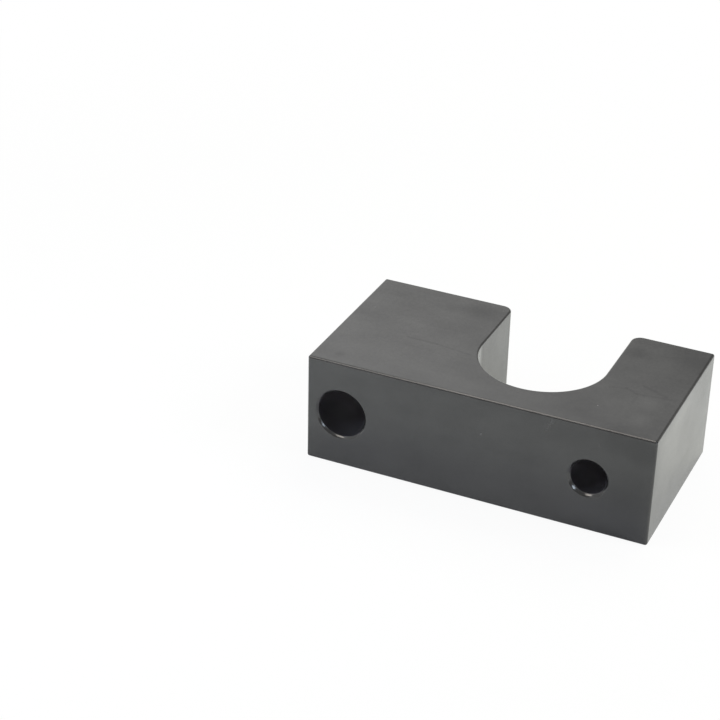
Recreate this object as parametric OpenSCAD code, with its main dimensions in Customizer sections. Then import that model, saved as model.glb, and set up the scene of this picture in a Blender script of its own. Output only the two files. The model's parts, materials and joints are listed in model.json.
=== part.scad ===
// Sway bar relocation bracket: one block milled from thick flat bar.
// It lies on its profile face. X runs along its length from the wide leg to the narrow leg,
// Y from the bolt face to the feet, and Z through the thickness of the bar.
// The origin is the middle of the footprint, on the surface that the block lies on.

/* [Block] */
// Length of the block, along X
block_length = 117.8; // [112:0.1:140]
// Height from the bolt face to the feet, along Y
block_height = 61.6; // [54:0.1:80]
// Thickness of the bar, along Z
block_thickness = 38.1; // [30:0.1:50]
// Width of the 45 degree break on the outer edges and round the slot
edge_break = 0.55; // [0.2:0.05:1]

/* [Bolt bores] */
// Distance between the axes of the two bores
bolt_spacing = 84.8; // [84.8:0.1:88]
// Distance from the end of the wide leg to the axis of the large bore
large_bore_inset = 12.1; // [11.5:0.1:14]
// Diameter of the large bore, through the wide leg
large_bore_d = 16.5; // [10:0.1:18]
// Width of the 45 degree break at the mouths of the large bore
large_bore_break = 0.8; // [0.2:0.1:1.5]
// Diameter of the small bore, through the narrow leg
small_bore_d = 11.7; // [6:0.1:11.7]
// Width of the 45 degree break at the mouths of the small bore
small_bore_break = 1; // [0.2:0.1:1.5]

/* [Arched slot] */
// Clear width between the two legs, and the diameter of the arch
slot_width = 42.6; // [34:0.1:42.6]
// How far the slot is moved from midway between the bolts, towards the narrow leg
slot_shift = 14.4; // [8:0.1:14.4]
// Metal left between the bolt face and the crown of the arch
web_thickness = 12.1; // [6:0.1:18]
// Radius of the leg corners at the mouth of the slot
mouth_radius = 3.5; // [1.5:0.1:5]

/* [Hidden] */
$fn = 128;

// How far a cutter runs past the surface that it starts from
over = 1;

end_x = block_length / 2;
foot_y = block_height / 2;
mid_z = block_thickness / 2;

large_bore_x = large_bore_inset - end_x;
small_bore_x = large_bore_x + bolt_spacing;
slot_x = (large_bore_x + small_bore_x) / 2 + slot_shift;
slot_r = slot_width / 2;
arch_y = web_thickness + slot_r - foot_y;

// Half section of a cut along an axis, opened out at 45 degrees where it leaves the solid
function cut_section(radius, length, flare) = [
    [0, -over],
    [radius + flare + over, -over],
    [radius, flare],
    [radius, length - flare],
    [radius + flare + over, length + over],
    [0, length + over]
];

// Half section of a round post whose two ends have broken edges
function post_section(radius, length, broken) = [
    [0, 0],
    [radius - broken, 0],
    [radius, broken],
    [radius, length - broken],
    [radius - broken, length],
    [0, length]
];

// Rectangle about the origin with its four corners broken at 45 degrees
module broken_rectangle(width, height) {
    x = width / 2;
    y = height / 2;
    e = edge_break;
    polygon([
        [e - x, -y], [x - e, -y],
        [x, e - y], [x, y - e],
        [x - e, y], [e - x, y],
        [-x, y - e], [-x, e - y]
    ]);
}

// The sawn block, with all twelve edges broken
module blank() {
    intersection() {
        linear_extrude(block_thickness)
            broken_rectangle(block_length, block_height);
        translate([0, foot_y, mid_z])
            rotate([90, 0, 0])
                linear_extrude(block_height)
                    broken_rectangle(block_length, block_thickness);
        translate([-end_x, 0, mid_z])
            rotate([90, 0, 90])
                linear_extrude(block_length)
                    broken_rectangle(block_height, block_thickness);
    }
}

// One bore along Y, from the bolt face through to the foot
module bore_cut(x, diameter, flare) {
    translate([x, foot_y, mid_z])
        rotate([90, 0, 0])
            rotate_extrude()
                polygon(cut_section(diameter / 2, block_height, flare));
}

// The half-round crown of the slot
module arch_cut() {
    translate([slot_x, arch_y, 0])
        rotate_extrude()
            polygon(cut_section(slot_r, block_thickness, edge_break));
}

// The straight walls of the slot, from the arch out past the feet
module leg_wall_cut() {
    translate([slot_x, foot_y + over, 0])
        rotate([90, 0, 0])
            linear_extrude(foot_y + over - arch_y)
                for (side = [0, 1])
                    mirror([side, 0, 0])
                        polygon(cut_section(slot_r, block_thickness, edge_break));
}

// The rounded corner of a leg at the mouth: a square cut that leaves a post standing
module mouth_corner_cut() {
    reach = mouth_radius + over;
    difference() {
        translate([-reach, 0, -over])
            cube([reach, reach, block_thickness + 2 * over]);
        rotate_extrude()
            polygon(post_section(mouth_radius, block_thickness, edge_break));
    }
}

// The slot, whose broken edge runs unbroken over crown, walls and corners
module slot_cut() {
    arch_cut();
    leg_wall_cut();
    translate([slot_x, 0, 0])
        for (side = [0, 1])
            mirror([side, 0, 0])
                translate([slot_r + mouth_radius, foot_y - mouth_radius, 0])
                    mouth_corner_cut();
}

module bracket() {
    color([0.11, 0.11, 0.12])
        difference() {
            blank();
            slot_cut();
            bore_cut(large_bore_x, large_bore_d, large_bore_break);
            bore_cut(small_bore_x, small_bore_d, small_bore_break);
        }
}

bracket();
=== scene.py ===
import json
import math

import bmesh
import bpy
from mathutils import Matrix, Vector


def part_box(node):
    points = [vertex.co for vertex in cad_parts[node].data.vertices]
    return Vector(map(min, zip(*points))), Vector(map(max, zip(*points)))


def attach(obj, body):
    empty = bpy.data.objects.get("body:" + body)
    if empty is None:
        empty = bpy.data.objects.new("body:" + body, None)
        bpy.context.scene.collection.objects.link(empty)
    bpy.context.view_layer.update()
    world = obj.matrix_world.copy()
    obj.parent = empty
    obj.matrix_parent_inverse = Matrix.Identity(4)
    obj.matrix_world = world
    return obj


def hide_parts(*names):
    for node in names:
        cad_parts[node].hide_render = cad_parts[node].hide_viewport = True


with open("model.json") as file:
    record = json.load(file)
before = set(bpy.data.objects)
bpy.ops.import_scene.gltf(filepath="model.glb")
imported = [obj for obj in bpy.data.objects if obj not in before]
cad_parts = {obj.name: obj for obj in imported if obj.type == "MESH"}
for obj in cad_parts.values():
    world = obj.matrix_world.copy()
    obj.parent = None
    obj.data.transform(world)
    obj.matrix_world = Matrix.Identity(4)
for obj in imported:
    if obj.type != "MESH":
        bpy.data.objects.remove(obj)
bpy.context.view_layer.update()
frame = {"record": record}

# Sway bar relocation bracket: one black anodised block, lying on its profile face.
# Lengths are in metres. X runs along the block, Y from the bolt face to the feet, Z through its thickness.

record = frame["record"]
mm = 0.001
quarterTurn = math.pi / 2
halfTurn = math.pi
fullTurn = 2 * math.pi
noiseMiddle = 0.5        # what a noise swings about


# The nodes

class Wire:
    # One output of a node. Arithmetic on wires adds Math nodes.
    def __init__(self, tree, port=None):
        self.tree = tree
        self.port = port

    def node(self, kind, settings=None, feeds=None, port=0):
        made = self.tree.nodes.new(kind)
        for name, value in (settings or {}).items():
            setattr(made, name, value)
        for name, value in (feeds or {}).items():
            if isinstance(value, Wire):
                self.tree.links.new(value.port, made.inputs[name])
            else:
                made.inputs[name].default_value = value
        return Wire(self.tree, made.outputs[port] if made.outputs else None)

    def other(self, port):
        return Wire(self.tree, self.port.node.outputs[port])

    def math(self, operation, first, second=0.0):
        return self.node("ShaderNodeMath", {"operation": operation}, {0: first, 1: second})

    def vector(self, operation, first, second, port="Vector"):
        return self.node("ShaderNodeVectorMath", {"operation": operation}, {0: first, 1: second}, port)

    def power(self, value):
        return self.math("POWER", self, value)

    def wave(self):
        return self.math("SINE", self)

    def clamped(self):
        return self.node("ShaderNodeClamp", {}, {"Value": self})

    def __add__(self, value):
        return self.math("ADD", self, value)

    def __radd__(self, value):
        return self.math("ADD", value, self)

    def __sub__(self, value):
        return self.math("SUBTRACT", self, value)

    def __rsub__(self, value):
        return self.math("SUBTRACT", value, self)

    def __mul__(self, value):
        return self.math("MULTIPLY", self, value)

    def __rmul__(self, value):
        return self.math("MULTIPLY", value, self)

    def __truediv__(self, value):
        return self.math("DIVIDE", self, value)

    def __abs__(self):
        return self.math("ABSOLUTE", self)


def rise(value, low, high):
    # 0 below low, 1 above high, smooth between
    limits = {"Value": value, "From Min": low, "From Max": high}
    return value.node("ShaderNodeMapRange", {"interpolation_type": "SMOOTHSTEP"}, limits)


def blend(factor, first, second):
    # One colour into another
    return factor.node("ShaderNodeMix", {"data_type": "RGBA"}, {0: factor, 6: first, 7: second}, 2)


def blendVector(factor, first, second):
    return factor.node("ShaderNodeMix", {"data_type": "VECTOR"}, {0: factor, 4: first, 5: second}, 1)


def distance(first, second):
    return first.vector("DISTANCE", first, second, "Value")


def split(vector):
    x = vector.node("ShaderNodeSeparateXYZ", {}, {0: vector})
    return x, x.other(1), x.other(2)


def noise(place, scale, detail):
    feeds = {"Vector": place, "Scale": scale, "Detail": detail}
    return place.node("ShaderNodeTexNoise", {}, feeds)


def newMaterial(name):
    material = bpy.data.materials.new(name)
    material.use_nodes = True
    material.node_tree.nodes.clear()
    return material, Wire(material.node_tree)


# The block

blockForm = {
    "slotWidth": 42.6 * mm,        # clear width between the legs, as in the solid
    "webThickness": 12.1 * mm,     # metal between the bolt face and the crown
    "mouthRadius": 3.5 * mm,       # leg corners at the mouth of the slot
    "edgeRadius": 0.8 * mm,        # rounding of the outer edges
    "edgeSteps": 6,
    "sharpFrom": math.radians(60),     # an edge that turns by more than this is rounded
    "slotShare": 0.80,             # how much of that rounding the edges of the slot have
    "boreBreak": {"large_bore": 0.8 * mm, "small_bore": 1.0 * mm},
    "softening": 0.30 * mm,        # how far the corners of each mouth's break are rounded over
    "runOut": 6,                   # how far a cutter runs on past the face, in steps of that rounding
    "archSteps": 96,
    "cornerSteps": 16,
    "boreSteps": 128,
    "flatWeight": 80,              # keeps the flat faces flat up to their breaks
}

lowCorner, highCorner = (Vector(corner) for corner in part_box("bracket"))
thickness = highCorner.z - lowCorner.z
midZ = thickness / 2
bores = {mount["name"]: mount for mount in record["mounts"] if mount["kind"] == "bore"}
slotBox = next(gap["box_m"] for gap in record["physics"]["openings"] if gap["name"] == "slot_between_legs")
slotX = (slotBox[0][0] + slotBox[1][0]) / 2
slotR = blockForm["slotWidth"] / 2
archY = lowCorner.y + blockForm["webThickness"] + slotR


def pushTo(bm, corner, x, y):
    # A straight stretch of the outline, from a corner to the next
    tip = bmesh.ops.extrude_vert_indiv(bm, verts=[corner])["verts"][0]
    bmesh.ops.translate(bm, verts=[tip], vec=Vector((x, y, lowCorner.z)) - tip.co)
    return tip


def turnAbout(bm, corner, x, y, angle, steps):
    # A round stretch of the outline
    made = bmesh.ops.spin(
        bm, geom=[corner], cent=(x, y, lowCorner.z), axis=(0, 0, 1), angle=angle, steps=steps)
    return next(part for part in made["geom_last"] if isinstance(part, bmesh.types.BMVert))


def addOutline(bm, form):
    # The profile face: from the inner corner of the wide foot round the slot, then round the outside
    radius = form["mouthRadius"]
    mouthY = highCorner.y - radius
    steps = form["cornerSteps"]
    start = bm.verts.new((slotX - slotR - radius, highCorner.y, lowCorner.z))
    tip = turnAbout(bm, start, slotX - slotR - radius, mouthY, -quarterTurn, steps)
    tip = pushTo(bm, tip, slotX - slotR, archY)
    tip = turnAbout(bm, tip, slotX, archY, halfTurn, form["archSteps"])
    tip = pushTo(bm, tip, slotX + slotR, mouthY)
    tip = turnAbout(bm, tip, slotX + slotR + radius, mouthY, -quarterTurn, steps)
    tip = pushTo(bm, tip, highCorner.x, highCorner.y)
    tip = pushTo(bm, tip, highCorner.x, lowCorner.y)
    tip = pushTo(bm, tip, lowCorner.x, lowCorner.y)
    tip = pushTo(bm, tip, lowCorner.x, highCorner.y)
    bmesh.ops.contextual_create(bm, geom=[tip, start])
    return bmesh.ops.contextual_create(bm, geom=bm.edges[:])["faces"]


def edgeShare(edge, form):
    # The slot's share of the rounding, running into the whole of it over the leg corners
    middle = (edge.verts[0].co + edge.verts[1].co) / 2
    radius = form["mouthRadius"]
    if abs(middle.x - slotX) > slotR + radius or not lowCorner.y + radius < middle.y < highCorner.y:
        return 1.0
    along = max(0.0, (middle.y - highCorner.y + radius) / radius)
    return form["slotShare"] + (1 - form["slotShare"]) * along


def blockBlank(form):
    # The profile drawn out through the thickness, with a weight on every edge that is rounded
    bm = bmesh.new()
    faces = addOutline(bm, form)
    drawn = bmesh.ops.extrude_face_region(bm, geom=faces)["geom"]
    risen = [part for part in drawn if isinstance(part, bmesh.types.BMVert)]
    bmesh.ops.translate(bm, verts=risen, vec=(0, 0, thickness))
    bmesh.ops.recalc_face_normals(bm, faces=bm.faces)
    weight = bm.edges.layers.float.new("bevel_weight_edge")
    for edge in bm.edges:
        if edge.calc_face_angle() > form["sharpFrom"]:
            edge[weight] = edgeShare(edge, form)
    return bm


def roundEdges(block, form):
    rounding = block.modifiers.new("rounding", "BEVEL")
    rounding.affect = "EDGES"
    rounding.limit_method = "WEIGHT"
    rounding.offset_type = "OFFSET"
    rounding.width = form["edgeRadius"]
    rounding.segments = form["edgeSteps"]
    rounding.profile = 0.5
    rounding.use_clamp_overlap = False


def boreSection(radius, flare, form):
    # Half section of one mouth, as distance from the axis and depth below the face
    soft = form["softening"]
    reach = soft * math.tan(quarterTurn / 4)
    slant = reach / math.sqrt(2)
    sag = soft * (1 - math.cos(quarterTurn / 4))
    slide = soft * math.sin(quarterTurn / 4)
    deep = flare + reach
    rimX = radius + flare + reach
    rim = Vector((rimX, 0.0))
    shoulder = (rimX - slide, sag)
    start = rim + (rim - Vector(shoulder)) * form["runOut"]
    lip = [tuple(start), shoulder, (radius + flare - slant, slant)]
    throat = [(radius + slant, flare - slant), (radius + sag, deep - slide), (radius, deep)]
    return lip + throat


def boreCutter(form, name):
    bore = bores[name]
    radius = bore["dims"]["r_mm"] * mm
    x = bore["pos_m"][0]
    section = boreSection(radius, form["boreBreak"][name], form)
    bm = bmesh.new()
    points = [(across, lowCorner.y + depth) for across, depth in section]
    points += [(across, highCorner.y - depth) for across, depth in reversed(section)]
    corners = [bm.verts.new((x + across, y, midZ)) for across, y in points]
    for first, second in zip(corners, corners[1:]):
        bm.edges.new((first, second))
    bmesh.ops.spin(
        bm, geom=bm.verts[:] + bm.edges[:], cent=(x, 0, midZ), axis=(0, 1, 0), angle=fullTurn,
        steps=form["boreSteps"], use_merge=True)
    bmesh.ops.holes_fill(bm, edges=bm.edges[:], sides=0)
    bmesh.ops.recalc_face_normals(bm, faces=bm.faces)
    return bm


def meshObject(name, bm):
    mesh = bpy.data.meshes.new(name)
    bm.to_mesh(mesh)
    bm.free()
    made = bpy.data.objects.new(name, mesh)
    bpy.context.scene.collection.objects.link(made)
    return made


def cutAway(block, cutters):
    # Cuts the bores out of the rounded block and leaves one plain mesh
    for cutter in cutters:
        cut = block.modifiers.new("cut", "BOOLEAN")
        cut.operation = "DIFFERENCE"
        cut.solver = "EXACT"
        cut.object = cutter
    whole = block.evaluated_get(bpy.context.evaluated_depsgraph_get())
    mesh = bpy.data.meshes.new_from_object(whole)
    block.modifiers.clear()
    block.data = mesh
    for cutter in cutters:
        bpy.data.objects.remove(cutter)


def makeBlock(form):
    block = meshObject("bracketBody", blockBlank(form))
    roundEdges(block, form)
    cutAway(block, [meshObject("cutter_" + name, boreCutter(form, name)) for name in bores])
    block.data.shade_smooth()
    even = block.modifiers.new("evenShade", "WEIGHTED_NORMAL")
    even.mode = "FACE_AREA"
    even.weight = form["flatWeight"]
    return block


# The finish

blockFinish = {
    "colour": (0.0120, 0.0122, 0.0135, 1.0),       # dyed oxide, almost black
    "colourWorn": (0.0260, 0.0260, 0.0262, 1.0),   # paler, where it clouds
    "shade": 0.5,                  # how much of the paler colour there is on average
    "glossIor": 1.66,
    "roughness": 0.14,
    "reliefDepth": 0.003 * mm,
    "film": 0.26,                  # handling and oil, as a thin coat over the oxide
    "filmRoughness": 0.12,
    "hairRelief": 0.3,             # how deep the fine lines go, in depths of the relief
    "colourDust": (0.32, 0.32, 0.33, 1.0),
    "roughnessDust": 0.50,         # added where there is dust
    "colourMouth": (0.0300, 0.0290, 0.0330, 1.0),  # drilled and duller, in the bores at their mouths
    "colourBore": (0.2300, 0.2180, 0.2450, 1.0),   # painted light: paler to their depth, to offset the shade deep in the bores
    "boreDepth": 2.8,              # that depth, in radii of the bore
    "roughnessBore": 0.22,         # added in the bores
    "drillPitch": 0.75 * mm,       # faint rings left by the drill
    "drillShade": 0.06,
    "turned": (0.6, 0.8),          # how far a normal has to point along an axis to count as facing it
}

# Each layer of the finish: how far it runs with the cut and across it, and what it changes
finishLayers = {
    "cloud": {"along": 13 * mm, "across": 10 * mm, "detail": 3.0,
              "shade": 0.9, "rough": 0.05, "film": 0.38, "relief": 0.0},
    "drift": {"along": 30 * mm, "across": 4 * mm, "detail": 4.0,
              "shade": 0.6, "rough": 0.03, "film": 0.18, "relief": 0.0},
    "lines": {"along": 26 * mm, "across": 0.5 * mm, "detail": 3.0,
              "shade": 0.7, "rough": 0.06, "film": 0.0, "relief": 0.8},
    "grain": {"along": 0.9 * mm, "across": 0.9 * mm, "detail": 2.0,
              "shade": 1.3, "rough": 0.05, "film": 0.3, "relief": 0.5},
}

# The marks that handling has left, and patches of painted shade and painted light, in mm
blockMarks = {
    # Place, radius and strength of each fleck of dust
    "flecks": [
        ((35.4, -18.2, 38.1), 0.35, 0.45),
        ((-13.7, 26.7, 38.1), 0.30, 0.30),
        ((-53.4, 9.5, 38.1), 0.30, 0.30),
        ((2.0, -30.8, 25.3), 0.35, 0.45),
        ((-37.1, -30.8, 37.0), 0.30, 0.25),
        ((40.8, -30.8, 31.8), 0.30, 0.25),
        ((25.0, -30.8, 36.2), 1.10, 0.06),
        ((24.2, -30.8, 34.6), 1.10, 0.06),
        ((23.5, -30.8, 33.0), 1.10, 0.04),
    ],
    # Place, radius and strength of each patch, more film or less: darker and lighter patches on the upper
    # face, and painted shade and painted light on the right-hand end of the front and on the right end face
    "smudges": [
        ((-19.5, 24.5, 38.1), 9.0, -0.22),
        ((36.4, 19.5, 38.1), 5.0, -0.20),
        ((54.0, 22.0, 38.1), 7.0, -0.12),
        ((29.0, -23.0, 38.1), 11.0, -0.18),
        ((50.3, -20.5, 38.1), 5.5, 0.24),
        ((49.0, -9.5, 38.1), 6.5, 0.26),
        ((-50.0, -25.0, 38.1), 2.5, -0.20),
        ((54.5, -30.8, 33.5), 7.0, -0.50),
        ((46.5, -33.0, 36.0), 9.0, -0.35),
        ((52.0, -38.0, 20.0), 21.0, -0.24),
        ((74.0, -15.0, 28.0), 24.0, 0.50),
        ((58.9, 26.0, 38.0), 30.0, -0.22),
    ],
    # The ends, half width and strength of each fine line on the upper profile face
    "hairlines": [
        ((-35.0, -4.4), (-24.8, -4.7), 0.85, 0.60),
        ((-24.8, -4.7), (-12.2, -6.4), 0.85, 0.45),
        ((35.1, -5.4), (40.1, -3.9), 0.85, 0.40),
        ((40.1, -3.9), (44.1, -5.9), 0.85, 0.50),
        ((44.1, -5.9), (56.2, -4.6), 0.85, 0.45),
        ((44.3, 0.0), (53.2, -3.7), 0.85, 0.45),
        ((44.4, -12.0), (44.7, -7.7), 0.75, 0.30),
    ],
}


def boreMasks(place, finish, form):
    # 1 on the walls of the bores, and the same rising from their mouths to their depth, where it carries
    # painted light
    x, y, z = split(place)
    along = z - midZ
    found = 0.0
    deep = 0.0
    for name, bore in bores.items():
        across = x - bore["pos_m"][0]
        away = (across * across + along * along).power(0.5)
        wall = bore["dims"]["r_mm"] * mm
        inside = 1 - rise(away, wall, wall + form["boreBreak"][name] / 2)
        found = found + inside
        # painted light, rising with depth against the shade in each bore
        deep = deep + inside * rise(highCorner.y - abs(y), 0.0, wall * finish["boreDepth"])
    return found, deep


def spots(place, marks):
    # Round marks on any surface, each fading out from its middle
    found = 0.0
    for centre, size, strength in marks:
        away = distance(place, tuple(value * mm for value in centre))
        found = found + (1 - rise(away, 0.0, size * mm)) * strength
    return found


def strokes(place, marks):
    # Fine straight lines on the upper profile face
    found = 0.0
    top = Vector((0, 0, thickness))
    for first, last, size, strength in marks:
        start = Vector((*first, 0)) * mm + top
        run = Vector((*last, 0)) * mm + top - start
        passed = place.vector("SUBTRACT", place, tuple(start))
        passed = place.vector("DOT_PRODUCT", passed, tuple(run), "Value")
        passed = (passed * (1 / run.length_squared)).clamped()
        nearest = blendVector(passed, tuple(start), tuple(start + run))
        found = found + (1 - rise(distance(place, nearest), 0.0, size * mm)) * strength
    return found


def cutRuns(layer, onEnd, inSlot, inBore):
    # Along the length outside, across the ends, through the slot and round the bores
    fine = 1 / layer["across"]
    coarse = 1 / layer["along"]
    run = blendVector(onEnd, (coarse, fine, fine), (fine, coarse, fine))
    run = blendVector(inSlot, run, (fine, fine, coarse))
    return blendVector(inBore, run, (coarse, fine, coarse))


def anodised(finish, layers, marks, form):
    material, start = newMaterial("blackAnodised")
    place = start.node("ShaderNodeTexCoord", port="Object")
    x, y = split(place)[:2]
    facingX, facingZ = split(start.node("ShaderNodeTexCoord", port="Normal"))[::2]

    # Which surface a point is on
    inBore, deep = boreMasks(place, finish, form)
    onEnd = rise(abs(facingX), *finish["turned"])
    onProfile = rise(abs(facingZ), *finish["turned"])
    reach = slotR + form["mouthRadius"]
    inSlot = 1 - rise(abs(x - slotX), reach, reach + form["edgeRadius"])
    inSlot = inSlot * rise(y, archY - reach, archY - slotR) * (1 - onProfile)

    shade = finish["shade"]
    rough = finish["roughness"] + inBore * finish["roughnessBore"]
    film = finish["film"]
    relief = 0.0
    for layer in layers.values():
        run = cutRuns(layer, onEnd, inSlot, inBore)
        swing = noise(place.vector("MULTIPLY", place, run), 1.0, layer["detail"]) - noiseMiddle
        shade = shade + swing * layer["shade"]
        rough = rough + swing * layer["rough"]
        film = film + swing * layer["film"]
        relief = relief + swing * layer["relief"]

    scored = strokes(place, marks["hairlines"])
    patchedAndShaded = spots(place, marks["smudges"])
    dust = spots(place, marks["flecks"])
    rings = (y * (fullTurn / finish["drillPitch"])).wave() * finish["drillShade"]
    # the bore colour gets paler with depth: painted light
    boreColourWithPaintedLight = blend(deep + rings, finish["colourMouth"], finish["colourBore"])
    # paler in the clouds, darker along the fine lines, and paler or darker in the patches; those on the
    # front's right-hand end and on the right end face are painted shade and painted light
    colour = blend(shade + patchedAndShaded - scored, finish["colour"], finish["colourWorn"])
    colour = blend(dust, colour, finish["colourDust"])
    colour = blend(inBore, colour, boreColourWithPaintedLight)
    # the coat follows the patches too, so on the front's right-hand end and the right end face it carries
    # painted shade and painted light in the gloss
    coat = (film + patchedAndShaded - scored * finish["film"]) * (1 - inBore)
    height = relief - scored * finish["hairRelief"]
    bump = start.node("ShaderNodeBump", {}, {
        "Strength": 1.0, "Distance": finish["reliefDepth"], "Height": height})
    shader = start.node("ShaderNodeBsdfPrincipled", {}, {
        "Base Color": colour, "Roughness": rough + dust * finish["roughnessDust"], "Metallic": 0.0,
        "IOR": finish["glossIor"], "Coat Weight": coat.clamped(), "Coat Roughness": finish["filmRoughness"],
        "Normal": bump})
    start.node("ShaderNodeOutputMaterial", {}, {"Surface": shader})
    return material


# The studio

floorLook = {
    "reach": 4.0,                  # half the side of the floor
    "steps": 8,
    "colour": (0.86, 0.86, 0.86, 1.0),
    "white": (1.0, 1.0, 1.0, 1.0),
    "nearReach": 0.10,             # plain white for camera and gloss from farReach on
    "farReach": 0.45,
    "seenWhite": 0.93,             # how much of the floor near the block is plain white to the camera
    "glossWhite": 0.20,            # and in the block's gloss
    "footWhite": 0.20,             # painted light: more of it right in front of the block, lifting the block's shadow where it is deepest
    "footFrom": 0.008,
    "footTo": 0.030,
    "footSoft": 0.002,
    "rightFrom": 0.015,            # painted shade: none of either in front of its right-hand end
    "rightTo": 0.055,
}

roomLook = {
    "bright": (1.27, 1.26, 1.25, 1.0),     # the wall behind and to the left
    "dim": (0.385, 0.38, 0.36, 1.0),       # and to the right
    "white": (1.0, 1.0, 1.0, 1.0),
    "fill": (0.28, 0.28, 0.29, 1.0),       # even light from all round on matt surfaces
    "brightTo": -0.45,             # where the bright wall ends and the dim one starts, along X
    "dimFrom": 0.02,
    "frontFrom": -0.8,             # the front, along Y
    "frontTo": 0.0,
    "frontShift": 0.26,            # there the bright side ends further to the left
    "sideFrom": 0.42,              # and beyond this, to the left, it is half dark again
    "sideTo": 0.75,
    "sideShade": 0.60,
    "behindFrom": -0.2,            # the back, along Y
    "behindTo": 0.3,
    "footSlope": 0.59,             # how steeply the lower edge of the lit wall behind lies
    "footFrom": -0.022,
    "footTo": 0.008,
    "footShade": 0.50,
    "ceilingFrom": 0.53,           # the ceiling above that wall
    "ceilingTo": 0.63,
    "ceilingShade": 0.50,
}

# Each lamp shows either in gloss or as light on matt surfaces
lamps = {
    "topLamp": {
        "towards": (-0.20, 0.04, 0.975), "distance": 1.0, "size": (0.32, 0.42), "power": 1.4,
        "colour": (1.0, 0.94, 0.86), "use": "gloss",
    },
    "lipLamp": {
        "towards": (-0.33, -0.50, 0.79), "distance": 1.0, "size": (0.44, 0.18), "power": 1.25,
        "colour": (1.0, 0.92, 0.84), "use": "gloss",
    },
    "coolLamp": {
        "towards": (0.68, -0.59, 0.43), "distance": 1.0, "size": (0.26, 0.20), "power": 1.0,
        "colour": (0.74, 0.86, 1.0), "use": "gloss",
    },
    "backLamp": {
        "towards": (0.10, 0.57, 0.82), "distance": 1.0, "size": (0.70, 0.60), "power": 5.4,
        "colour": (0.98, 1.0, 0.80), "use": "light",
    },
    "rightLamp": {
        "towards": (0.80, 0.10, 0.59), "distance": 1.0, "size": (0.50, 0.50), "power": 6.2,
        "colour": (0.97, 0.98, 1.0), "use": "light",
    },
    "nearFill": {
        "towards": (-0.66, -0.45, 0.60), "distance": 0.34, "size": (0.20, 0.20), "power": 0.49,
        "colour": (0.82, 0.90, 1.0), "use": "light",
    },
}

cameraView = {
    "place": (0.19125, -0.54628, 0.36077),
    "towards": (-0.35679, 0.79402, -0.49219),
    "up": (-0.22358, 0.43898, 0.87023),
    "lens": 101.84,
}


def whiteRays(start):
    # 1 for what the camera sees straight, and 1 for what it sees in gloss or through glass
    straight = start.node("ShaderNodeLightPath", port="Is Camera Ray")
    return straight, straight.other("Is Glossy Ray") + straight.other("Is Transmission Ray")


def makeFloor(look):
    bm = bmesh.new()
    bmesh.ops.create_grid(bm, x_segments=look["steps"], y_segments=look["steps"], size=look["reach"])
    floor = meshObject("studioFloor", bm)
    material, start = newMaterial("paleFloor")
    place = start.node("ShaderNodeTexCoord", port="Object")
    x, y = split(place)[:2]
    straight, mirrored = whiteRays(start)
    before = lowCorner.y - y
    # painted light in the gloss by the front foot of the block, and painted shade in front of its
    # right-hand end
    foot = (1 - rise(before, look["footFrom"], look["footTo"])) * look["footWhite"]
    right = rise(x, look["rightFrom"], look["rightTo"]) * (foot + look["glossWhite"])
    inGloss = rise(before, 0.0, look["footSoft"]) * (foot - right) + look["glossWhite"]
    near = straight * look["seenWhite"] + mirrored * inGloss
    away = place.node("ShaderNodeVectorMath", {"operation": "LENGTH"}, {0: place}, "Value")
    far = rise(away, look["nearReach"], look["farReach"])
    white = near + far * (straight + mirrored - near)
    lit = start.node("ShaderNodeBsdfDiffuse", {}, {"Color": look["colour"]})
    glow = start.node("ShaderNodeEmission", {}, {"Color": look["white"], "Strength": 1.0})
    mixed = start.node("ShaderNodeMixShader", {}, {0: white, 1: lit, 2: glow})
    start.node("ShaderNodeOutputMaterial", {}, {"Surface": mixed})
    floor.data.materials.append(material)


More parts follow.
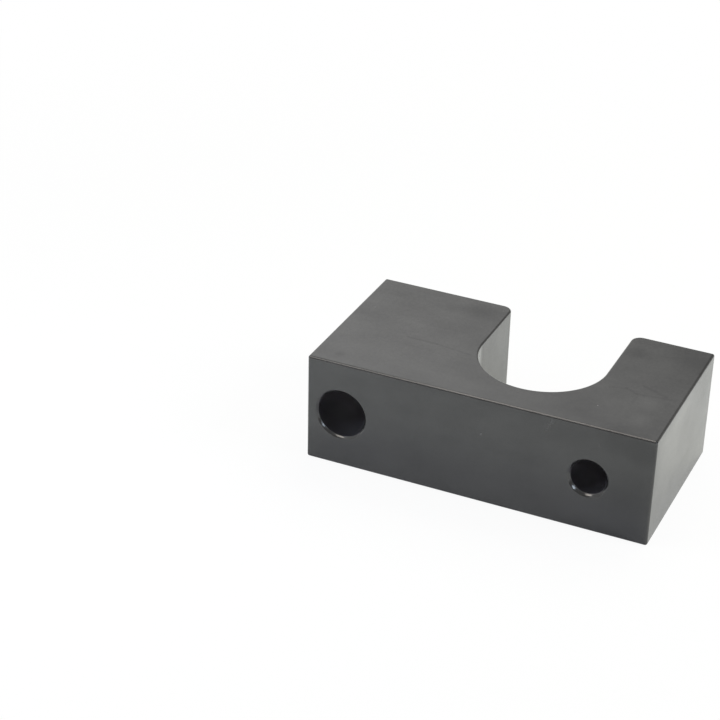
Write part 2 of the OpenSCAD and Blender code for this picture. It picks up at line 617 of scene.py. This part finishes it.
def makeRoom(look):
    # White to the camera; to everything else a plain room that is lighter on the left
    world = bpy.data.worlds.new("studioRoom")
    bpy.context.scene.world = world
    world.use_nodes = True
    world.node_tree.nodes.clear()
    start = Wire(world.node_tree)
    x, y, z = split(start.node("ShaderNodeTexCoord", port="Generated"))
    straight, mirrored = whiteRays(start)
    behind = rise(y, look["behindFrom"], look["behindTo"])
    front = 1 - rise(y, look["frontFrom"], look["frontTo"])
    side = rise(x * -1, look["sideFrom"], look["sideTo"]) * (1 - behind) * look["sideShade"]
    foot = (1 - rise(z - y * look["footSlope"], look["footFrom"], look["footTo"])) * look["footShade"]
    ceiling = rise(z, look["ceilingFrom"], look["ceilingTo"]) * behind * look["ceilingShade"]
    light = 1 - rise(x + front * look["frontShift"], look["brightTo"], look["dimFrom"])
    light = light * (1 - side) * (1 - foot) * (1 - ceiling)
    room = blend(light, look["dim"], look["bright"])
    colour = blend(straight, blend(mirrored, look["fill"], room), look["white"])
    sky = start.node("ShaderNodeBackground", {}, {"Color": colour, "Strength": 1.0})
    start.node("ShaderNodeOutputWorld", {}, {"Surface": sky})


def orientation(across, up, towards):
    # The turn of an object whose own axes point these ways
    return Matrix((across, up, towards)).transposed().to_4x4()


def makeLamps(lamps, aim):
    for name, lamp in lamps.items():
        light = bpy.data.lights.new(name, "AREA")
        light.shape = "RECTANGLE"
        light.size, light.size_y = lamp["size"]
        light.energy = lamp["power"]
        light.color = lamp["colour"]
        towards = Vector(lamp["towards"]).normalized()
        across = (Vector((1, 0, 0)) - towards * towards.x).normalized()
        stand = bpy.data.objects.new(name, light)
        stand.visible_glossy = lamp["use"] == "gloss"
        stand.visible_diffuse = lamp["use"] == "light"
        place = Matrix.Translation(aim + towards * lamp["distance"])
        stand.matrix_world = place @ orientation(across, towards.cross(across), towards)
        bpy.context.scene.collection.objects.link(stand)


def makeCamera(view):
    towards = Vector(view["towards"]).normalized()
    up = Vector(view["up"])
    up = (up - towards * up.dot(towards)).normalized()
    camera = bpy.data.objects.new("photoCamera", bpy.data.cameras.new("photoCamera"))
    camera.data.lens = view["lens"]
    camera.matrix_world = Matrix.Translation(view["place"]) @ orientation(towards.cross(up), up, -towards)
    bpy.context.scene.collection.objects.link(camera)
    bpy.context.scene.camera = camera


print("bracket: milling the block")
bracketBody = makeBlock(blockForm)
print("bracket: finishing it in black anodise")
bracketBody.data.materials.clear()
bracketBody.data.materials.append(anodised(blockFinish, finishLayers, blockMarks, blockForm))
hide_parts("bracket")
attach(bracketBody, "root")

print("studio: floor, room, lamps and camera")
makeFloor(floorLook)
makeRoom(roomLook)
makeLamps(lamps, Vector((0, 0, midZ)))
makeCamera(cameraView)
bpy.context.scene.view_settings.view_transform = "Standard"

print("studio: ready")
